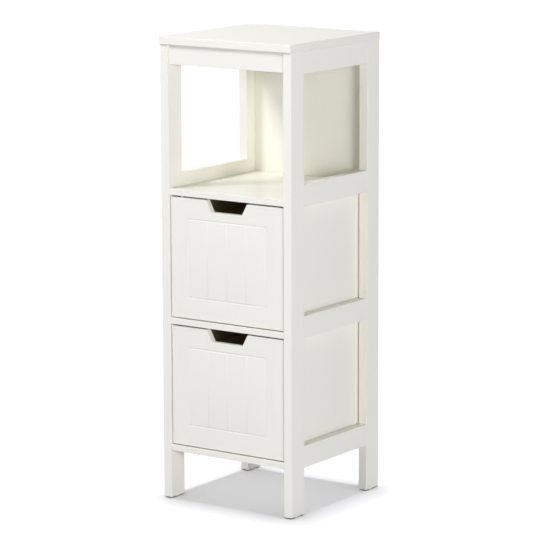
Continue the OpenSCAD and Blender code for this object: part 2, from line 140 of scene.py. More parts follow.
class TowerSizes(bpy.types.PropertyGroup):
    """Radii of the edges, and sizes of the notches and of the routed panels"""
    board_ease: FloatProperty(
        name="Board edges", description="Radius of the edges of boards and drawer fronts",
        default=0.5 * MM, min=0.1 * MM, max=2 * MM, precision=4, subtype="DISTANCE", unit="LENGTH")
    top_ease: FloatProperty(
        name="Top edges", description="Radius of the edges of the top board",
        default=1.2 * MM, min=0.1 * MM, max=4 * MM, precision=4, subtype="DISTANCE", unit="LENGTH")
    frame_ease: FloatProperty(
        name="Frame edges", description="Radius of the long edges of legs and rails",
        default=0.9 * MM, min=0.1 * MM, max=3 * MM, precision=4, subtype="DISTANCE", unit="LENGTH")
    joint_ease: FloatProperty(
        name="Joint edges", description="Radius round a joint between a leg and a rail",
        default=0.3 * MM, min=0.1 * MM, max=1 * MM, precision=4, subtype="DISTANCE", unit="LENGTH")
    thin_ease: FloatProperty(
        name="Thin edges", description="Radius of the edges of thin panels and drawer boxes",
        default=0.4 * MM, min=0.1 * MM, max=1 * MM, precision=4, subtype="DISTANCE", unit="LENGTH")
    notch_top: FloatProperty(
        name="Notch width", description="Width of a finger notch at the top edge",
        default=94 * MM, min=60 * MM, max=120 * MM, subtype="DISTANCE", unit="LENGTH")
    notch_floor: FloatProperty(
        name="Notch floor", description="Width of a finger notch at its floor",
        default=70 * MM, min=40 * MM, max=90 * MM, subtype="DISTANCE", unit="LENGTH")
    notch_depth: FloatProperty(
        name="Notch depth", description="Depth of a finger notch",
        default=22.8 * MM, min=12 * MM, max=32 * MM, subtype="DISTANCE", unit="LENGTH")
    notch_corner: FloatProperty(
        name="Notch corners", description="Radius in the lower corners of a finger notch",
        default=3 * MM, min=1 * MM, max=8 * MM, subtype="DISTANCE", unit="LENGTH")
    notch_lip: FloatProperty(
        name="Notch lips", description="Radius where a finger notch meets the top edge",
        default=2 * MM, min=0.5 * MM, max=6 * MM, subtype="DISTANCE", unit="LENGTH")
    rout_margin: FloatProperty(
        name="Routing margin", description="From the edge of a drawer front to the routed panel",
        default=40.5 * MM, min=36 * MM, max=60 * MM, subtype="DISTANCE", unit="LENGTH")
    rout_width: FloatProperty(
        name="Routing width", description="Width of the groove round the routed panel",
        default=5 * MM, min=4 * MM, max=6 * MM, subtype="DISTANCE", unit="LENGTH")
    rout_depth: FloatProperty(
        name="Routing depth", description="Depth of the groove round the routed panel",
        default=1.4 * MM, min=0.8 * MM, max=2.5 * MM, precision=4,
        subtype="DISTANCE", unit="LENGTH")
    plank_width: FloatProperty(
        name="Plank grooves", description="Width of the upright grooves between the planks",
        default=3 * MM, min=1 * MM, max=3.5 * MM, subtype="DISTANCE", unit="LENGTH")
    plank_depth: FloatProperty(
        name="Plank groove depth", description="Depth of the upright grooves",
        default=0.35 * MM, min=0.3 * MM, max=0.7 * MM, precision=4,
        subtype="DISTANCE", unit="LENGTH")
    planks: IntProperty(
        name="Planks", description="Number of planks in the routed panel", default=4, min=2, max=6)


class TowerFinish(bpy.types.PropertyGroup):
    """Colours of the finishes"""
    lacquer: FloatVectorProperty(
        name="Lacquer", description="Satin lacquer on the frame, boards and drawer fronts",
        default=linear("EFECD9"), size=3, min=0, max=1, subtype="COLOR")
    # The inside tan is partly the colour of bare fibreboard and partly painted shade: it is darker
    # and warmer than the lacquer, so the drawers, the gaps round the fronts and the side panels'
    # inner faces read as warm brown shade.
    inside: FloatVectorProperty(
        name="Inside",
        description="Fibreboard of the drawer boxes and of the side panels' inner faces",
        default=linear("DDCB98"), size=3, min=0, max=1, subtype="COLOR")
    beech: FloatVectorProperty(
        name="Beech", description="Raw wood of the dowels",
        default=linear("CDAA7D"), size=3, min=0, max=1, subtype="COLOR")
    zinc_plate: FloatVectorProperty(
        name="Zinc plate", description="Bright plate on bolts and screws",
        default=linear("C6C8CC"), size=3, min=0, max=1, subtype="COLOR")
    cast_zinc: FloatVectorProperty(
        name="Cast zinc", description="Bare metal of the cams",
        default=linear("A3A5A8"), size=3, min=0, max=1, subtype="COLOR")
    nylon: FloatVectorProperty(
        name="Nylon", description="Moulded glides and bumper",
        default=linear("F2F1EB"), size=3, min=0, max=1, subtype="COLOR")


class TowerStage(bpy.types.PropertyGroup):
    """Place of the camera, and the lamps"""
    camera_place: FloatVectorProperty(
        name="Camera", description="Where the camera stands",
        default=(3.14607, -4.50869, 1.44039), size=3, subtype="TRANSLATION", unit="LENGTH")
    camera_turn: FloatProperty(
        name="Turn", description="How far the camera is turned about the upright axis",
        default=radians(34.9202), subtype="ANGLE", unit="ROTATION")
    camera_tilt: FloatProperty(
        name="Tilt", description="How far the camera looks down",
        default=radians(10.3386), subtype="ANGLE", unit="ROTATION")
    camera_roll: FloatProperty(
        name="Roll", description="How far the camera leans about its own axis",
        default=radians(-0.1927), subtype="ANGLE", unit="ROTATION")
    lens: FloatProperty(
        name="Lens", description="Focal length on a 36 mm sensor, in millimetres",
        default=194.735, min=20, max=400)
    key: FloatProperty(
        name="Key", description="Power of the softbox high in front, on the left",
        default=177, min=0)
    fill: FloatProperty(
        name="Fill", description="Power of the softbox low on the right", default=123, min=0)
    small: FloatProperty(
        name="Small", description="Power of the small softbox on the right", default=80, min=0)
    front: FloatProperty(
        name="Front", description="Power of the softbox low in front, on the right",
        default=64, min=0)
    side: FloatProperty(
        name="Side", description="Power of the softbox high on the left", default=137, min=0)
    back: FloatProperty(
        name="Back", description="Power of the softbox low behind", default=120, min=0)
    sky: FloatProperty(
        name="Sky", description="Strength of the light from all round", default=0.02, min=0)
    wash: FloatProperty(
        name="Floor wash", description="Strength of the overhead lamp that only lights the floor",
        default=2.015, min=0)
    veil: FloatProperty(
        name="Floor veil",
        description="Strength of the wide lamp over the floor that only the legs shade",
        default=2.7, min=0)
    daylight: FloatVectorProperty(
        name="Daylight", description="Colour of the lamps and the sky",
        default=(0.963, 0.983, 1.142), size=3, min=0, max=2, subtype="COLOR")


# ---- modelling, as by hand ----

def only(*pieces):
    """Selects these objects and nothing else, and makes the last one active."""
    bpy.ops.object.select_all(action="DESELECT")
    for piece in pieces:
        piece.select_set(True)
    bpy.context.view_layer.objects.active = pieces[-1]


def settled(name):
    """The new primitive, named, with its place and size applied to its mesh."""
    piece = bpy.context.object
    piece.name = piece.data.name = name
    only(piece)
    bpy.ops.object.transform_apply(location=True, rotation=True, scale=True)
    return piece


def block(name, low, high):
    """A cube between two corners."""
    low, high = Vector(low), Vector(high)
    bpy.ops.object.select_all(action="DESELECT")
    bpy.ops.mesh.primitive_cube_add(size=1, location=(low + high) / 2, scale=high - low)
    return settled(name)


def rod(start, end, radius, end_radius=None, sides=ROUND):
    """A round cutter from one point to another, straight or tapered."""
    start, end = Vector(start), Vector(end)
    way = end - start
    turn = way.to_track_quat("Z", "Y").to_euler()
    bpy.ops.object.select_all(action="DESELECT")
    bpy.ops.mesh.primitive_cone_add(
        vertices=sides, radius1=radius, radius2=radius if end_radius is None else end_radius,
        depth=way.length, location=(start + end) / 2, rotation=turn)
    return settled("cutter")


def cut(piece, *tools):
    """Takes each tool's shape out of the piece and throws the tool away."""
    for tool in tools:
        only(piece)
        change = piece.modifiers.new("cut", "BOOLEAN")
        change.operation = "DIFFERENCE"
        change.solver = "MANIFOLD"
        change.object = tool
        bpy.ops.object.modifier_apply(modifier=change.name)
        bpy.data.objects.remove(tool)


def along(axis):
    """A test for edges that run along an axis."""
    return lambda a, b: abs((b - a).normalized()[axis]) > PARALLEL


def on(axis, place):
    """A test for edges in a plane across an axis."""
    return lambda a, b: abs(a[axis] - place) < NEAR and abs(b[axis] - place) < NEAR


def at_ends(axis, low, high):
    """A test for edges in the two planes that bound a box along an axis."""
    return lambda a, b: on(axis, low[axis])(a, b) or on(axis, high[axis])(a, b)


def anywhere(a, b):
    """A test that every edge passes."""
    return True


def select(piece, test):
    """Selects, in edit mode, the sharp edges whose two ends pass the test."""
    only(piece)
    bpy.ops.object.mode_set(mode="EDIT")
    bpy.context.tool_settings.mesh_select_mode = (False, True, False)
    bpy.ops.mesh.select_all(action="DESELECT")
    mesh = bmesh.from_edit_mesh(piece.data)
    for edge in mesh.edges:
        if edge.calc_face_angle(0) > SHARP and test(*(v.co for v in edge.verts)):
            edge.select_set(True)
    bmesh.update_edit_mesh(piece.data)


def ease(piece, radius, test, steps=EASE_STEPS):
    """Rounds the sharp edges that pass the test."""
    select(piece, test)
    bpy.ops.mesh.bevel(offset=radius, segments=steps, affect="EDGES")
    bpy.ops.object.mode_set(mode="OBJECT")


def smooth(piece):
    """Shades rounded edges as round and keeps flat faces flat."""
    only(piece)
    bpy.ops.object.shade_smooth_by_angle(angle=ROUNDED)
    change = piece.modifiers.new("flat faces", "WEIGHTED_NORMAL")
    change.keep_sharp = True
    bpy.ops.object.modifier_apply(modifier=change.name)


def check_closed(piece):
    """Raises an error if the piece has a hole in its skin."""
    mesh = bmesh.new()
    mesh.from_mesh(piece.data)
    loose = sum(1 for edge in mesh.edges if len(edge.link_faces) != 2)
    volume = mesh.calc_volume(signed=True)
    mesh.free()
    if loose or volume <= 0:
        raise RuntimeError(f"{piece.name}: {loose} open edges, volume {volume:.3e}")


def hand_over(piece, node, material):
    """Puts a finished piece in the place of its node, on the node's body, with the given material.
    """
    smooth(piece)
    check_closed(piece)
    piece.data.materials.clear()
    piece.data.materials.append(material)
    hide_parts(node)
    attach(piece, BODY[node])


# ---- holes for the fittings, read from the fittings themselves ----

def solids(node):
    """The lowest and highest corner of each separate solid of a node."""
    mesh = bmesh.new()
    mesh.from_mesh(frame["nodes"][node].data)
    bmesh.ops.remove_doubles(mesh, verts=mesh.verts, dist=NEAR / 10)
    boxes = []
    for first in mesh.verts:
        if first.tag:
            continue
        first.tag = True
        group = [first]
        for vertex in group:
            for edge in vertex.link_edges:
                other = edge.other_vert(vertex)
                if not other.tag:
                    other.tag = True
                    group.append(other)
        places = [v.co for v in group]
        boxes.append(tuple(
            Vector([pick(p[i] for p in places) for i in range(3)]) for pick in (min, max)
        ))
    mesh.free()
    return boxes


def near(piece_box, solid):
    """Whether a solid reaches into a box."""
    return all(
        solid[0][i] < piece_box[1][i] - NEAR and solid[1][i] > piece_box[0][i] + NEAR
        for i in range(3)
    )


def reaching(piece_box, fitting):
    """The solids of a fitting's node that reach into a box."""
    return [solid for solid in solids(fitting) if near(piece_box, solid)]


def centre(solid):
    """The middle of a solid's box."""
    return (solid[0] + solid[1]) / 2


def long_axis(solid):
    """The axis along which a solid is longest."""
    size = solid[1] - solid[0]
    return max(range(3), key=lambda i: size[i])


def bore(solid, axis, radius, low_end=SEAT, high_end=SEAT):
    """A cutter down the middle of a solid, past its ends."""
    start, end = centre(solid), centre(solid)
    start[axis] = solid[0][axis] - low_end
    end[axis] = solid[1][axis] + high_end
    return rod(start, end, radius)


def drill(piece, node, fittings):
    """Drills a piece for the dowels and bolts that reach into its node."""
    for fitting in fittings:
        for solid in reaching(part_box(node), fitting):
            axis = long_axis(solid)
            across = (solid[1] - solid[0])[(axis + 1) % 3]
            cut(piece, bore(solid, axis, across / 2 + FIT))


def sink_cams(piece, node, fitting, axis, way):
    """Cuts the blind holes that the cams sit in; they open along the axis, up or down."""
    for solid in reaching(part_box(node), fitting):
        across = (solid[1] - solid[0])[(axis + 1) % 3]
        ends = (PAST, SLIP) if way < 0 else (SLIP, PAST)
        cut(piece, bore(solid, axis, across / 2 + FIT, *ends))


# ---- finishes ----

def add(tree, kind, values=None, links=None, **settings):
    """Adds a node with its settings, the values of its sockets and what is linked to them."""
    node = tree.nodes.new(kind)
    for name, value in settings.items():
        setattr(node, name, value)
    for socket, value in (values or {}).items():
        node.inputs[socket].default_value = value
    for socket, source in (links or {}).items():
        tree.links.new(source, node.inputs[socket])
    return node


def blank(name):
    """A new material with an empty tree."""
    material = bpy.data.materials.new(name)
    material.use_nodes = True
    material.node_tree.nodes.clear()
    return material, material.node_tree


def shade(colour, factor):
    """A colour made lighter or darker, with full alpha."""
    return [min(1, c * factor) for c in colour] + [1]


def satin_lacquer(name, colour, roughness=0.21):
    """Sprayed satin lacquer on fibreboard: even warm white, a soft broad gloss, and a film that
    is faintly clouded over a hand's width and has the fine orange peel of a spray gun. On the
    top board it is duller, as where spray dust settles on a face that lies flat."""
    material, tree = blank(name)
    place = add(tree, "ShaderNodeTexCoord").outputs["Object"]
    cloud = add(
        tree, "ShaderNodeTexNoise", {"Scale": 1 / (70 * MM), "Detail": 2},
        {"Vector": place}).outputs["Fac"]
    tint = add(
        tree, "ShaderNodeMix", {COLOUR_A: shade(colour, 0.996), COLOUR_B: shade(colour, 1.004)},
        {FACTOR: cloud}, data_type="RGBA").outputs[MIXED]
    gloss = add(
        tree, "ShaderNodeMapRange", {"To Min": roughness - 0.02, "To Max": roughness + 0.02},
        {"Value": cloud}).outputs[0]
    peel = add(
        tree, "ShaderNodeTexNoise", {"Scale": 1 / (2.4 * MM), "Detail": 1},
        {"Vector": place}).outputs["Fac"]
    bump = add(
        tree, "ShaderNodeBump", {"Strength": 0.25, "Distance": 0.02 * MM},
        {"Height": peel}).outputs[0]
    skin = add(
        tree, "ShaderNodeBsdfPrincipled", {"IOR": 1.5},
        {"Base Color": tint, "Roughness": gloss, "Normal": bump})
    add(tree, "ShaderNodeOutputMaterial", None, {"Surface": skin.outputs[0]})
    return material


def one_sided_hardboard(name, lacquer, fibre, middle):
    """Hardboard sprayed on its outer face only: satin white outside, and inside, up to the middle
    of its thickness, a tan with a fine fleck of fibres. The tan is the colour of bare board and
    also painted shade, which makes the inside of the tower read warm."""
    material = satin_lacquer(name, lacquer)
    tree = material.node_tree
    place = add(tree, "ShaderNodeTexCoord").outputs["Object"]
    fleck = add(
        tree, "ShaderNodeTexNoise", {"Scale": 1 / (1.5 * MM), "Detail": 3},
        {"Vector": place}).outputs["Fac"]
    # The inner colour: a flecked tan that is partly board colour and partly painted warm shade.
    board = add(
        tree, "ShaderNodeMix", {COLOUR_A: shade(fibre, 0.88), COLOUR_B: shade(fibre, 1.08)},
        {FACTOR: fleck}, data_type="RGBA").outputs[MIXED]
    across = add(tree, "ShaderNodeSeparateXYZ", None, {0: place}).outputs["X"]
    depth = add(tree, "ShaderNodeMath", None, {0: across}, operation="ABSOLUTE").outputs[0]
    inner = add(tree, "ShaderNodeMath", {1: middle}, {0: depth}, operation="LESS_THAN").outputs[0]
    skin = next(node for node in tree.nodes if node.type == "BSDF_PRINCIPLED")
    outer = skin.inputs["Base Color"].links[0].from_socket
    # Tan painted shade on the half that faces into the tower, lacquer on the half that faces out.
    sides = add(
        tree, "ShaderNodeMix", None, {FACTOR: inner, COLOUR_A: outer, COLOUR_B: board},
        data_type="RGBA").outputs[MIXED]
    tree.links.new(sides, skin.inputs["Base Color"])
    return material


def raw_beech(name, colour):
    """Turned beech dowel: pale tan with short dark flecks along the grain, and dull."""
    material, tree = blank(name)
    place = add(tree, "ShaderNodeTexCoord").outputs["Object"]
    fleck = add(
        tree, "ShaderNodeTexNoise", {"Scale": 1 / (1.2 * MM), "Detail": 3},
        {"Vector": place}).outputs["Fac"]
    tint = add(
        tree, "ShaderNodeMix", {COLOUR_A: shade(colour, 0.75), COLOUR_B: shade(colour, 1.08)},
        {FACTOR: fleck}, data_type="RGBA").outputs[MIXED]
    skin = add(tree, "ShaderNodeBsdfPrincipled", {"Roughness": 0.7}, {"Base Color": tint})
    add(tree, "ShaderNodeOutputMaterial", None, {"Surface": skin.outputs[0]})
    return material


def zinc_metal(name, colour, roughness, grain, depth):
    """Zinc: bluish grey metal, bright and fine where plated, dull and pebbled where cast."""
    material, tree = blank(name)
    place = add(tree, "ShaderNodeTexCoord").outputs["Object"]
    pebble = add(
        tree, "ShaderNodeTexNoise", {"Scale": 1 / grain, "Detail": 3},
        {"Vector": place}).outputs["Fac"]
    tint = add(
        tree, "ShaderNodeMix", {COLOUR_A: shade(colour, 0.85), COLOUR_B: shade(colour, 1.05)},
        {FACTOR: pebble}, data_type="RGBA").outputs[MIXED]
    gloss = add(
        tree, "ShaderNodeMapRange", {"To Min": roughness - 0.08, "To Max": roughness + 0.08},
        {"Value": pebble}).outputs[0]
    bump = add(
        tree, "ShaderNodeBump", {"Strength": 0.4, "Distance": depth},
        {"Height": pebble}).outputs[0]
    skin = add(
        tree, "ShaderNodeBsdfPrincipled", {"Metallic": 1},
        {"Base Color": tint, "Roughness": gloss, "Normal": bump})
    add(tree, "ShaderNodeOutputMaterial", None, {"Surface": skin.outputs[0]})
    return material


def moulded_nylon(name, colour):
    """Moulded nylon: slightly waxy white with a fine spark-eroded grain."""
    material, tree = blank(name)
    place = add(tree, "ShaderNodeTexCoord").outputs["Object"]
    grain = add(
        tree, "ShaderNodeTexNoise", {"Scale": 1 / (0.5 * MM), "Detail": 2},
        {"Vector": place}).outputs["Fac"]
    tint = add(
        tree, "ShaderNodeMix", {COLOUR_A: shade(colour, 0.96), COLOUR_B: shade(colour, 1.02)},
        {FACTOR: grain}, data_type="RGBA").outputs[MIXED]
    bump = add(
        tree, "ShaderNodeBump", {"Strength": 0.3, "Distance": 0.02 * MM},
        {"Height": grain}).outputs[0]
    skin = add(
        tree, "ShaderNodeBsdfPrincipled", {"Roughness": 0.45, "IOR": 1.53},
        {"Base Color": tint, "Normal": bump})
    add(tree, "ShaderNodeOutputMaterial", None, {"Surface": skin.outputs[0]})
    return material


def make_finish(slot, colours):
    """A new material for a record slot, for the top board or for the side panels."""
    if slot == "satin_white_lacquer":
        return satin_lacquer("sprayed_satin_lacquer", colours.lacquer)
    # Drawer boxes: tan board lacquer, its colour partly the board's own and partly painted shade
    # for the drawers' insides, the notches and the gaps round the fronts.
    if slot == "lacquered_board":
        return satin_lacquer("rolled_board_lacquer", colours.inside, roughness=0.46)
    if slot == "top_board":
        return satin_lacquer("dusty_sprayed_lacquer", colours.lacquer, roughness=0.6)
    # Side panels: lacquer outside, and the tan inside colour as painted shade on their inner
    # faces.
    if slot == "side_panel":
        low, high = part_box("right_lower_panel")
        return one_sided_hardboard(
            "one_sided_hardboard", colours.lacquer, colours.inside, (low.x + high.x) / 2)
    if slot == "beech":
        return raw_beech("turned_beech", colours.beech)
    if slot == "zinc_plated_steel":
        return zinc_metal(
            "bright_zinc_plate", colours.zinc_plate,
            roughness=0.28, grain=0.3 * MM, depth=0.005 * MM)
    if slot == "die_cast_zinc":
        return zinc_metal(
            "tumbled_cast_zinc", colours.cast_zinc,
            roughness=0.5, grain=0.8 * MM, depth=0.03 * MM)
    if slot == "white_nylon":
        return moulded_nylon("moulded_nylon", colours.nylon)
    raise KeyError(f"No finish for the slot {slot}")


FINISHES = {}


def finish(slot):
    """The material of a record slot, of the top board or of the side panels, made once."""
    if slot not in FINISHES:
        FINISHES[slot] = make_finish(slot, bpy.context.scene.tower_finish)
    return FINISHES[slot]


# ---- pieces ----

def begin(node):
    """A block of a node's size, and the box's two corners."""
    low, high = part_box(node)
    return block(f"{node}.milled", low, high), low, high


class TowerOperator(bpy.types.Operator):
    """What the operators of the tower have in common"""
    bl_options = {"REGISTER", "UNDO"}


class TOWER_OT_legs(TowerOperator):
    """Legs with eased edges, dowel holes and, at the rear, the groove of the back panel"""
    bl_idname = "tower.legs"
    bl_label = "Legs"

    def execute(self, context):
        sizes = context.scene.tower_sizes
        back_low, back_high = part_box("back_panel")
        for node in LEGS:
            piece, low, high = begin(node)
            ease(piece, sizes.frame_ease, along(Z))
            ease(piece, sizes.joint_ease, at_ends(Z, low, high))
            if node.startswith("rear"):
                left = max(low.x - PAST, back_low.x - SEAT)
                right = min(high.x + PAST, back_high.x + SEAT)
                cut(piece, block(
                    "cutter", (left, back_low.y - BACK_SEAM, back_low.z - SEAT),
                    (right, back_high.y + SLIP, high.z + PAST)))
            side = "left" if "left" in node else "right"
            drill(piece, node, [f"{side}_frame_dowels", "apron_dowels", "apron_cam_bolts"])
            for solid in reaching((low, high), "panel_screws"):
                cut(piece, bore(solid, X, PANEL_BORE))
            for solid in reaching((low, high), "foot_glides"):
                cut(piece, bore(solid, Z, NAIL_BORE))
            hand_over(piece, node, finish(SUBPARTS[node]))
        return {"FINISHED"}


class TOWER_OT_rails(TowerOperator):
    """Side rails with eased edges and finely eased ends that leave hairline joints at the legs"""
    bl_idname = "tower.rails"
    bl_label = "Side rails"

    def execute(self, context):
        sizes = context.scene.tower_sizes
        for node in RAILS:
            piece, low, high = begin(node)
            ease(piece, sizes.frame_ease, along(Y))
            ease(piece, sizes.joint_ease, at_ends(Y, low, high))
            side = node.split("_")[0]
            drill(piece, node, [
                f"{side}_frame_dowels", "board_dowels", "board_cam_bolts", "top_dowels",
                "top_cam_bolts"])
            sink_cams(piece, node, "top_cams", X, -1 if low.x > 0 else 1)
            hand_over(piece, node, finish(SUBPARTS[node]))
        return {"FINISHED"}


class TOWER_OT_side_panels(TowerOperator):
    """Thin panels behind the side frames, countersunk on the inside for their screws"""
    bl_idname = "tower.side_panels"
    bl_label = "Side panels"

    def execute(self, context):
        sizes = context.scene.tower_sizes
        for node in SIDE_PANELS:
            piece, low, high = begin(node)
            ease(piece, sizes.thin_ease, anywhere)
            inner, way = (low.x, 1) if low.x > 0 else (high.x, -1)
            for solid in reaching((low, high), "panel_screws"):
                head = centre(solid)
                head.x = inner
                into = Vector((way, 0, 0))
                cut(piece, bore(solid, X, PANEL_BORE),
                    rod(head - SLIP * into, head + SINK_DEPTH * into, SINK_RADIUS, SINK_END))
            hand_over(piece, node, finish("side_panel"))
        return {"FINISHED"}


class TOWER_OT_boards(TowerOperator):
    """Shelf, divider and bottom board with eased edges, cam holes and grooves for side panels"""
    bl_idname = "tower.boards"
    bl_label = "Boards"

    def execute(self, context):
        sizes = context.scene.tower_sizes
        for node in BOARDS:
            piece, low, high = begin(node)
            ease(piece, sizes.board_ease, along(X))
            ease(piece, sizes.joint_ease, at_ends(X, low, high))
            drill(piece, node, ["board_dowels", "board_cam_bolts"])
            sink_cams(piece, node, "board_cams", Z, -1)
            for panel in SIDE_PANELS:
                panel_low, panel_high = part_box(panel)
                if near((low, high), (panel_low, panel_high)):
                    if panel_low.z < low.z:
                        start, end = low.z - PAST, panel_high.z + SEAT
                    else:
                        start, end = panel_low.z - SEAT, high.z + PAST
                    cut(piece, block(
                        "cutter",
                        (panel_low.x - SLIP, panel_low.y - SEAT, start),
                        (panel_high.x + SLIP, panel_high.y + SEAT, end)))
            hand_over(piece, node, finish(SUBPARTS[node]))
        return {"FINISHED"}


class TOWER_OT_top_board(TowerOperator):
    """Top board, its edges rounded all the way round"""
    bl_idname = "tower.top_board"
    bl_label = "Top board"

    def execute(self, context):
        piece, *_ = begin("top_board")
        ease(piece, context.scene.tower_sizes.top_ease, anywhere, steps=TOP_STEPS)
        drill(piece, "top_board", ["top_dowels", "top_cam_bolts"])
        hand_over(piece, "top_board", finish("top_board"))
        return {"FINISHED"}


class TOWER_OT_apron(TowerOperator):
    """Front apron under the top board, with its cams' holes in the rear face"""
    bl_idname = "tower.apron"
    bl_label = "Front apron"

    def execute(self, context):
        sizes = context.scene.tower_sizes
        piece, low, high = begin("front_apron")
        ease(piece, sizes.board_ease, along(X))
        ease(piece, sizes.joint_ease, at_ends(X, low, high))
        drill(piece, "front_apron", ["apron_dowels", "apron_cam_bolts"])
        sink_cams(piece, "front_apron", "apron_cams", Y, 1)
        hand_over(piece, "front_apron", finish(SUBPARTS["front_apron"]))
        return {"FINISHED"}


class TOWER_OT_back_panel(TowerOperator):
    """Thin back panel that slides into the rear legs"""
    bl_idname = "tower.back_panel"
    bl_label = "Back panel"

    def execute(self, context):
        piece, *_ = begin("back_panel")
        ease(piece, context.scene.tower_sizes.thin_ease, anywhere)
        hand_over(piece, "back_panel", finish(SUBPARTS["back_panel"]))
        return {"FINISHED"}


def notch_cutter(sizes, low, high):
    """A wedge with rounded lower edges that cuts the finger notch."""
    slope = (sizes.notch_top - sizes.notch_floor) / 2 / sizes.notch_depth
    floor = high.z - sizes.notch_depth
    half = sizes.notch_floor / 2
    tool = block("cutter", (-half, low.y - PAST, floor), (half, high.y + PAST, high.z + PAST))
    select(tool, on(Z, high.z + PAST))
    top_half = sizes.notch_top / 2 + slope * PAST
    bpy.ops.transform.resize(value=(top_half / half, 1, 1))
    bpy.ops.object.mode_set(mode="OBJECT")
    turn = pi / 2 - atan2(sizes.notch_top - sizes.notch_floor, 2 * sizes.notch_depth)
    ease(tool, sizes.notch_corner * tan(turn / 2),
         lambda a, b: on(Z, floor)(a, b) and along(Y)(a, b), steps=NOTCH_STEPS)
    return tool


def flatten(tool, middle, depth, width):
    """Squashes a bar across Y about a face until it cuts this deep for this width."""
    only(tool)
    bpy.ops.object.mode_set(mode="EDIT")
    bpy.ops.mesh.select_all(action="SELECT")
    bpy.ops.transform.resize(value=(1, 2 * depth / width, 1), center_override=middle)
    bpy.ops.object.mode_set(mode="OBJECT")


def vee_cutter(start, end, width, depth):
    """A flat bar on edge, which cuts a groove from one point to another."""
    bar = rod(start, end, width / 2, sides=4)
    flatten(bar, start, depth, width)
    return bar


def ring_cutter(middle, across, height, width, depth):
    """A frame of flat bars on edge, mitred at its corners, as a router bit runs round a panel."""
    side = min(across, height) / 2
    bpy.ops.object.select_all(action="DESELECT")
    bpy.ops.mesh.primitive_torus_add(
        major_segments=4, minor_segments=4, major_radius=side * sqrt(2),
        minor_radius=width / 2 * sqrt(2), location=middle, rotation=(pi / 2, pi / 4, 0))
    tool = settled("cutter")
    flatten(tool, middle, depth / sqrt(2), width)
    only(tool)
    bpy.ops.object.mode_set(mode="EDIT")
    for axis, spare in ((X, across / 2 - side), (Z, height / 2 - side)):
        for way in (-1, 1):
            mesh = bmesh.from_edit_mesh(tool.data)
            for vertex in mesh.verts:
                vertex.select_set((vertex.co[axis] - middle[axis]) * way > 0)
            bmesh.update_edit_mesh(tool.data)
            step = [0, 0, 0]
            step[axis] = way * spare
            bpy.ops.transform.translate(value=step)
    bpy.ops.object.mode_set(mode="OBJECT")
    return tool


class TOWER_OT_drawer_fronts(TowerOperator):
    """Drawer fronts with a finger notch and a routed panel of planks"""
    bl_idname = "tower.drawer_fronts"
    bl_label = "Drawer fronts"

    def execute(self, context):
        sizes = context.scene.tower_sizes
        for drawer in DRAWERS:
            node = f"{drawer}_front"
            piece, low, high = begin(node)
            cut(piece, notch_cutter(sizes, low, high))
            ease(piece, sizes.notch_lip, lambda a, b: (
                on(Z, high.z)(a, b) and along(Y)(a, b) and abs(a.x) < sizes.notch_top))
            ease(piece, sizes.board_ease, at_ends(Y, low, high))
            ease(piece, sizes.board_ease, anywhere)
            across = high.x - low.x - 2 * sizes.rout_margin
            height = high.z - low.z - 2 * sizes.rout_margin
            middle = Vector(((low.x + high.x) / 2, low.y, (low.z + high.z) / 2))
            cut(piece, ring_cutter(middle, across, height, sizes.rout_width, sizes.rout_depth))
            for i in range(1, sizes.planks):
                x = middle.x - across / 2 + i * across / sizes.planks
                cut(piece, vee_cutter(
                    (x, low.y, middle.z - height / 2), (x, low.y, middle.z + height / 2),
                    sizes.plank_width, sizes.plank_depth))
            drill(piece, node, [f"{drawer}_cam_bolts"])
            floor_low, floor_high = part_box(f"{drawer}_bottom")
            cut(piece, block(
                "cutter", (floor_low.x - SEAT, floor_low.y - SEAT, floor_low.z - SLIP),
                (floor_high.x + SEAT, high.y + PAST, floor_high.z + SLIP)))
            hand_over(piece, node, finish(SUBPARTS[node]))
        return {"FINISHED"}


class TOWER_OT_drawer_boxes(TowerOperator):
    """Drawer sides, backs and bottoms"""
    bl_idname = "tower.drawer_boxes"
    bl_label = "Drawer boxes"

    def execute(self, context):
        sizes = context.scene.tower_sizes
        for drawer in DRAWERS:
            floor_low, floor_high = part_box(f"{drawer}_bottom")
            gap = Vector((SEAT, SEAT, SLIP))
            for part in ("left_side", "right_side", "back"):
                node = f"{drawer}_{part}"
                piece, low, high = begin(node)
                ease(piece, sizes.thin_ease, anywhere)
                cut(piece, block("cutter", floor_low - gap, floor_high + gap))
                drill(piece, node, [f"{drawer}_cam_bolts"])
                sink_cams(piece, node, f"{drawer}_cams", X, -1 if low.x > 0 else 1)
                for solid in reaching((low, high), f"{drawer}_screws"):
                    head = centre(solid)
                    head.x = solid[1].x if head.x > 0 else solid[0].x
                    outward = Vector((1 if head.x > 0 else -1, 0, 0))
                    cut(piece, bore(solid, X, SCREW_BORE),
                        rod(head - HEAD_DEPTH * outward, head + PAST * outward, HEAD_BORE))
                hand_over(piece, node, finish(SUBPARTS[node]))
            node = f"{drawer}_bottom"
            piece, *_ = begin(node)
            ease(piece, sizes.thin_ease, anywhere)
            hand_over(piece, node, finish(SUBPARTS[node]))
        return {"FINISHED"}


class TOWER_OT_fittings(TowerOperator):
    """Finishes on the dowels, cams, bolts, screws, glides and bumper"""
    bl_idname = "tower.fittings"
    bl_label = "Fittings"

    def execute(self, context):
        for node, slot in SUBPARTS.items():
            if slot in FITTING_SLOTS:
                mesh = frame["nodes"][node].data
                mesh.materials.clear()
                mesh.materials.append(finish(slot))
        return {"FINISHED"}


# ---- stage ----

def to_the_eye(tree):
    """One for what the camera sees, itself or in gloss and glass, and nought for other light."""
    rays = add(tree, "ShaderNodeLightPath").outputs
    seen = rays["Is Camera Ray"]
    for kind in ("Glossy", "Transmission"):
        links = {0: seen, 1: rays[f"Is {kind} Ray"]}
        seen = add(tree, "ShaderNodeMath", None, links, operation="MAXIMUM").outputs[0]
    return seen


def for_the_eye(tree, other, seen, output):
    """Gives out one shader to the camera and the other to all other light."""
    mixed = add(
        tree, "ShaderNodeMixShader", None,
        {0: to_the_eye(tree), 1: other.outputs[0], 2: seen.outputs[0]})
    add(tree, output, None, {"Surface": mixed.outputs[0]})


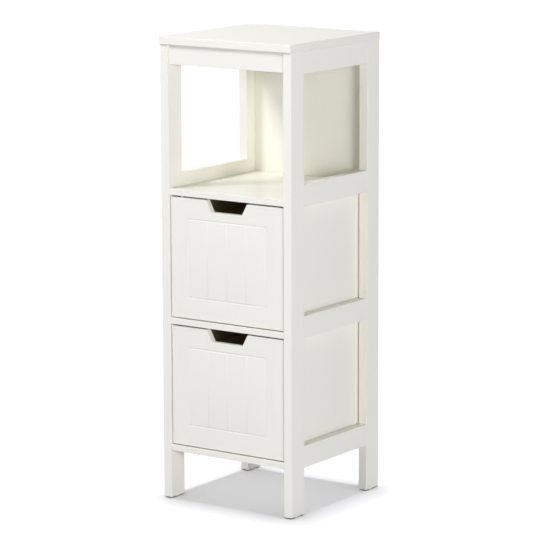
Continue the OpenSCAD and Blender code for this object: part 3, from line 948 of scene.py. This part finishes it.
def white_paper(daylight):
    """Matt paper sweep: seen as neutral white paper that holds the shadow, and grey to the light
    that it throws back on the tower."""
    material, tree = blank("white_paper")
    place = add(tree, "ShaderNodeTexCoord").outputs["Object"]
    fibre = add(
        tree, "ShaderNodeTexNoise", {"Scale": 1 / (3 * MM), "Detail": 2},
        {"Vector": place}).outputs["Fac"]
    least, most = PAPER_THROWN
    tint = add(
        tree, "ShaderNodeMix", {"A": least, "B": most}, {"Factor": fibre},
        data_type="FLOAT").outputs[0]
    thrown = add(tree, "ShaderNodeBsdfDiffuse", None, {"Color": tint})
    neutral = [seen / light for seen, light in zip(PAPER_SEEN, daylight)] + [1]
    sheet = add(tree, "ShaderNodeBsdfDiffuse", {"Color": neutral})
    for_the_eye(tree, thrown, sheet, "ShaderNodeOutputMaterial")
    return material


def soft_sky(daylight, strength):
    """A world that is white to the eye and even, soft light to all else."""
    world = bpy.data.worlds.new("studio")
    bpy.context.scene.world = world
    world.use_nodes = True
    tree = world.node_tree
    tree.nodes.clear()
    soft = add(tree, "ShaderNodeBackground", {"Color": [*daylight, 1], "Strength": strength})
    white = add(tree, "ShaderNodeBackground", {"Color": (1, 1, 1, 1), "Strength": 1})
    for_the_eye(tree, soft, white, "ShaderNodeOutputWorld")


def lit_collection(name, floor, link_state):
    """A collection that lets a lamp light only the floor, or all but the floor."""
    lit = bpy.data.collections.new(name)
    lit.objects.link(floor)
    lit.collection_objects[0].light_linking.link_state = link_state
    return lit


def lamp(kind, name, place, aim, daylight, power, lit):
    """A lamp that faces a point, lights what the collection says and isn't seen itself."""
    turn = (Vector(aim) - Vector(place)).to_track_quat("-Z", "Y").to_euler()
    bpy.ops.object.select_all(action="DESELECT")
    bpy.ops.object.light_add(type=kind, location=place, rotation=turn)
    made = bpy.context.object
    made.name = made.data.name = name
    made.data.color = daylight
    made.data.energy = power
    made.light_linking.receiver_collection = lit
    made.visible_camera = False
    made.visible_glossy = False
    return made


class TOWER_OT_stage(TowerOperator):
    """White floor, soft lamps and the camera"""
    bl_idname = "tower.stage"
    bl_label = "Stage"

    def execute(self, context):
        scene = context.scene
        stage = scene.tower_stage
        scene.view_settings.view_transform = "Standard"
        bpy.ops.object.select_all(action="DESELECT")
        bpy.ops.mesh.primitive_plane_add(size=FLOOR_WIDTH, location=(0, 0, 0))
        floor = bpy.context.object
        floor.name = floor.data.name = "floor"
        floor.data.materials.append(white_paper(stage.daylight))
        soft_sky(stage.daylight, stage.sky)
        on_floor = lit_collection("lit_floor", floor, "INCLUDE")
        off_floor = lit_collection("lit_tower", floor, "EXCLUDE")
        for name, turn, rise, width in LAMPS:
            way = Vector((0, -1, 0))
            way.rotate(Matrix.Rotation(radians(-rise), 3, "X"))
            way.rotate(Matrix.Rotation(radians(turn), 3, "Z"))
            softbox = lamp(
                "AREA", name, TOWER_MIDDLE + LAMP_AWAY * way, TOWER_MIDDLE, stage.daylight,
                getattr(stage, name), off_floor)
            softbox.data.size = width
        wash = lamp(
            "SUN", "floor_wash", WASH_PLACE, (0, 0, 0), stage.daylight, stage.wash, on_floor)
        wash.data.angle = WASH_ANGLE
        veil = lamp(
            "SUN", "floor_veil", VEIL_PLACE, (0, 0, 0), stage.daylight, stage.veil, on_floor)
        veil.data.angle = VEIL_ANGLE
        # sampled both ways, a wide lamp loses half its light behind what doesn't block it
        veil.data.cycles.use_multiple_importance_sampling = False
        feet = bpy.data.collections.new("feet")
        for node in LEGS:
            feet.objects.link(bpy.data.objects[f"{node}.milled"])
        feet.objects.link(frame["nodes"]["foot_glides"])
        veil.light_linking.blocker_collection = feet
        view = (
            Matrix.Rotation(stage.camera_turn, 3, "Z")
            @ Matrix.Rotation(pi / 2 - stage.camera_tilt, 3, "X")
            @ Matrix.Rotation(stage.camera_roll, 3, "Z")
        )
        bpy.ops.object.camera_add(location=stage.camera_place, rotation=view.to_euler())
        camera = bpy.context.object
        camera.name = camera.data.name = "camera"
        camera.data.lens = stage.lens
        camera.data.sensor_width = SENSOR_WIDTH
        scene.camera = camera
        return {"FINISHED"}


OPERATORS = (
    TOWER_OT_top_board, TOWER_OT_legs, TOWER_OT_rails, TOWER_OT_side_panels, TOWER_OT_boards,
    TOWER_OT_apron, TOWER_OT_back_panel, TOWER_OT_drawer_fronts, TOWER_OT_drawer_boxes,
    TOWER_OT_fittings, TOWER_OT_stage,
)
GROUPS = {"tower_sizes": TowerSizes, "tower_finish": TowerFinish, "tower_stage": TowerStage}


class TOWER_PT_sidebar(bpy.types.Panel):
    """All the settings, and a button for each operator"""
    bl_label = "Storage Tower"
    bl_space_type = "VIEW_3D"
    bl_region_type = "UI"
    bl_category = "Tower"

    def draw(self, context):
        for attribute, group in GROUPS.items():
            box = self.layout.box()
            for name in group.__annotations__:
                box.prop(getattr(context.scene, attribute), name)
        for operator in OPERATORS:
            self.layout.operator(operator.bl_idname)


def register():
    """Adds the settings, the operators and the panel."""
    for group in GROUPS.values():
        bpy.utils.register_class(group)
    for attribute, group in GROUPS.items():
        setattr(bpy.types.Scene, attribute, PointerProperty(type=group))
    for operator in OPERATORS:
        bpy.utils.register_class(operator)
    bpy.utils.register_class(TOWER_PT_sidebar)


def unregister():
    """Takes away what register adds."""
    bpy.utils.unregister_class(TOWER_PT_sidebar)
    for operator in reversed(OPERATORS):
        bpy.utils.unregister_class(operator)
    for attribute in GROUPS:
        delattr(bpy.types.Scene, attribute)
    for group in reversed(GROUPS.values()):
        bpy.utils.unregister_class(group)


def main():
    """Builds the stage and every piece."""
    register()
    for operator in OPERATORS:
        group, name = operator.bl_idname.split(".")
        getattr(getattr(bpy.ops, group), name)()


if __name__ == "__main__":
    main()
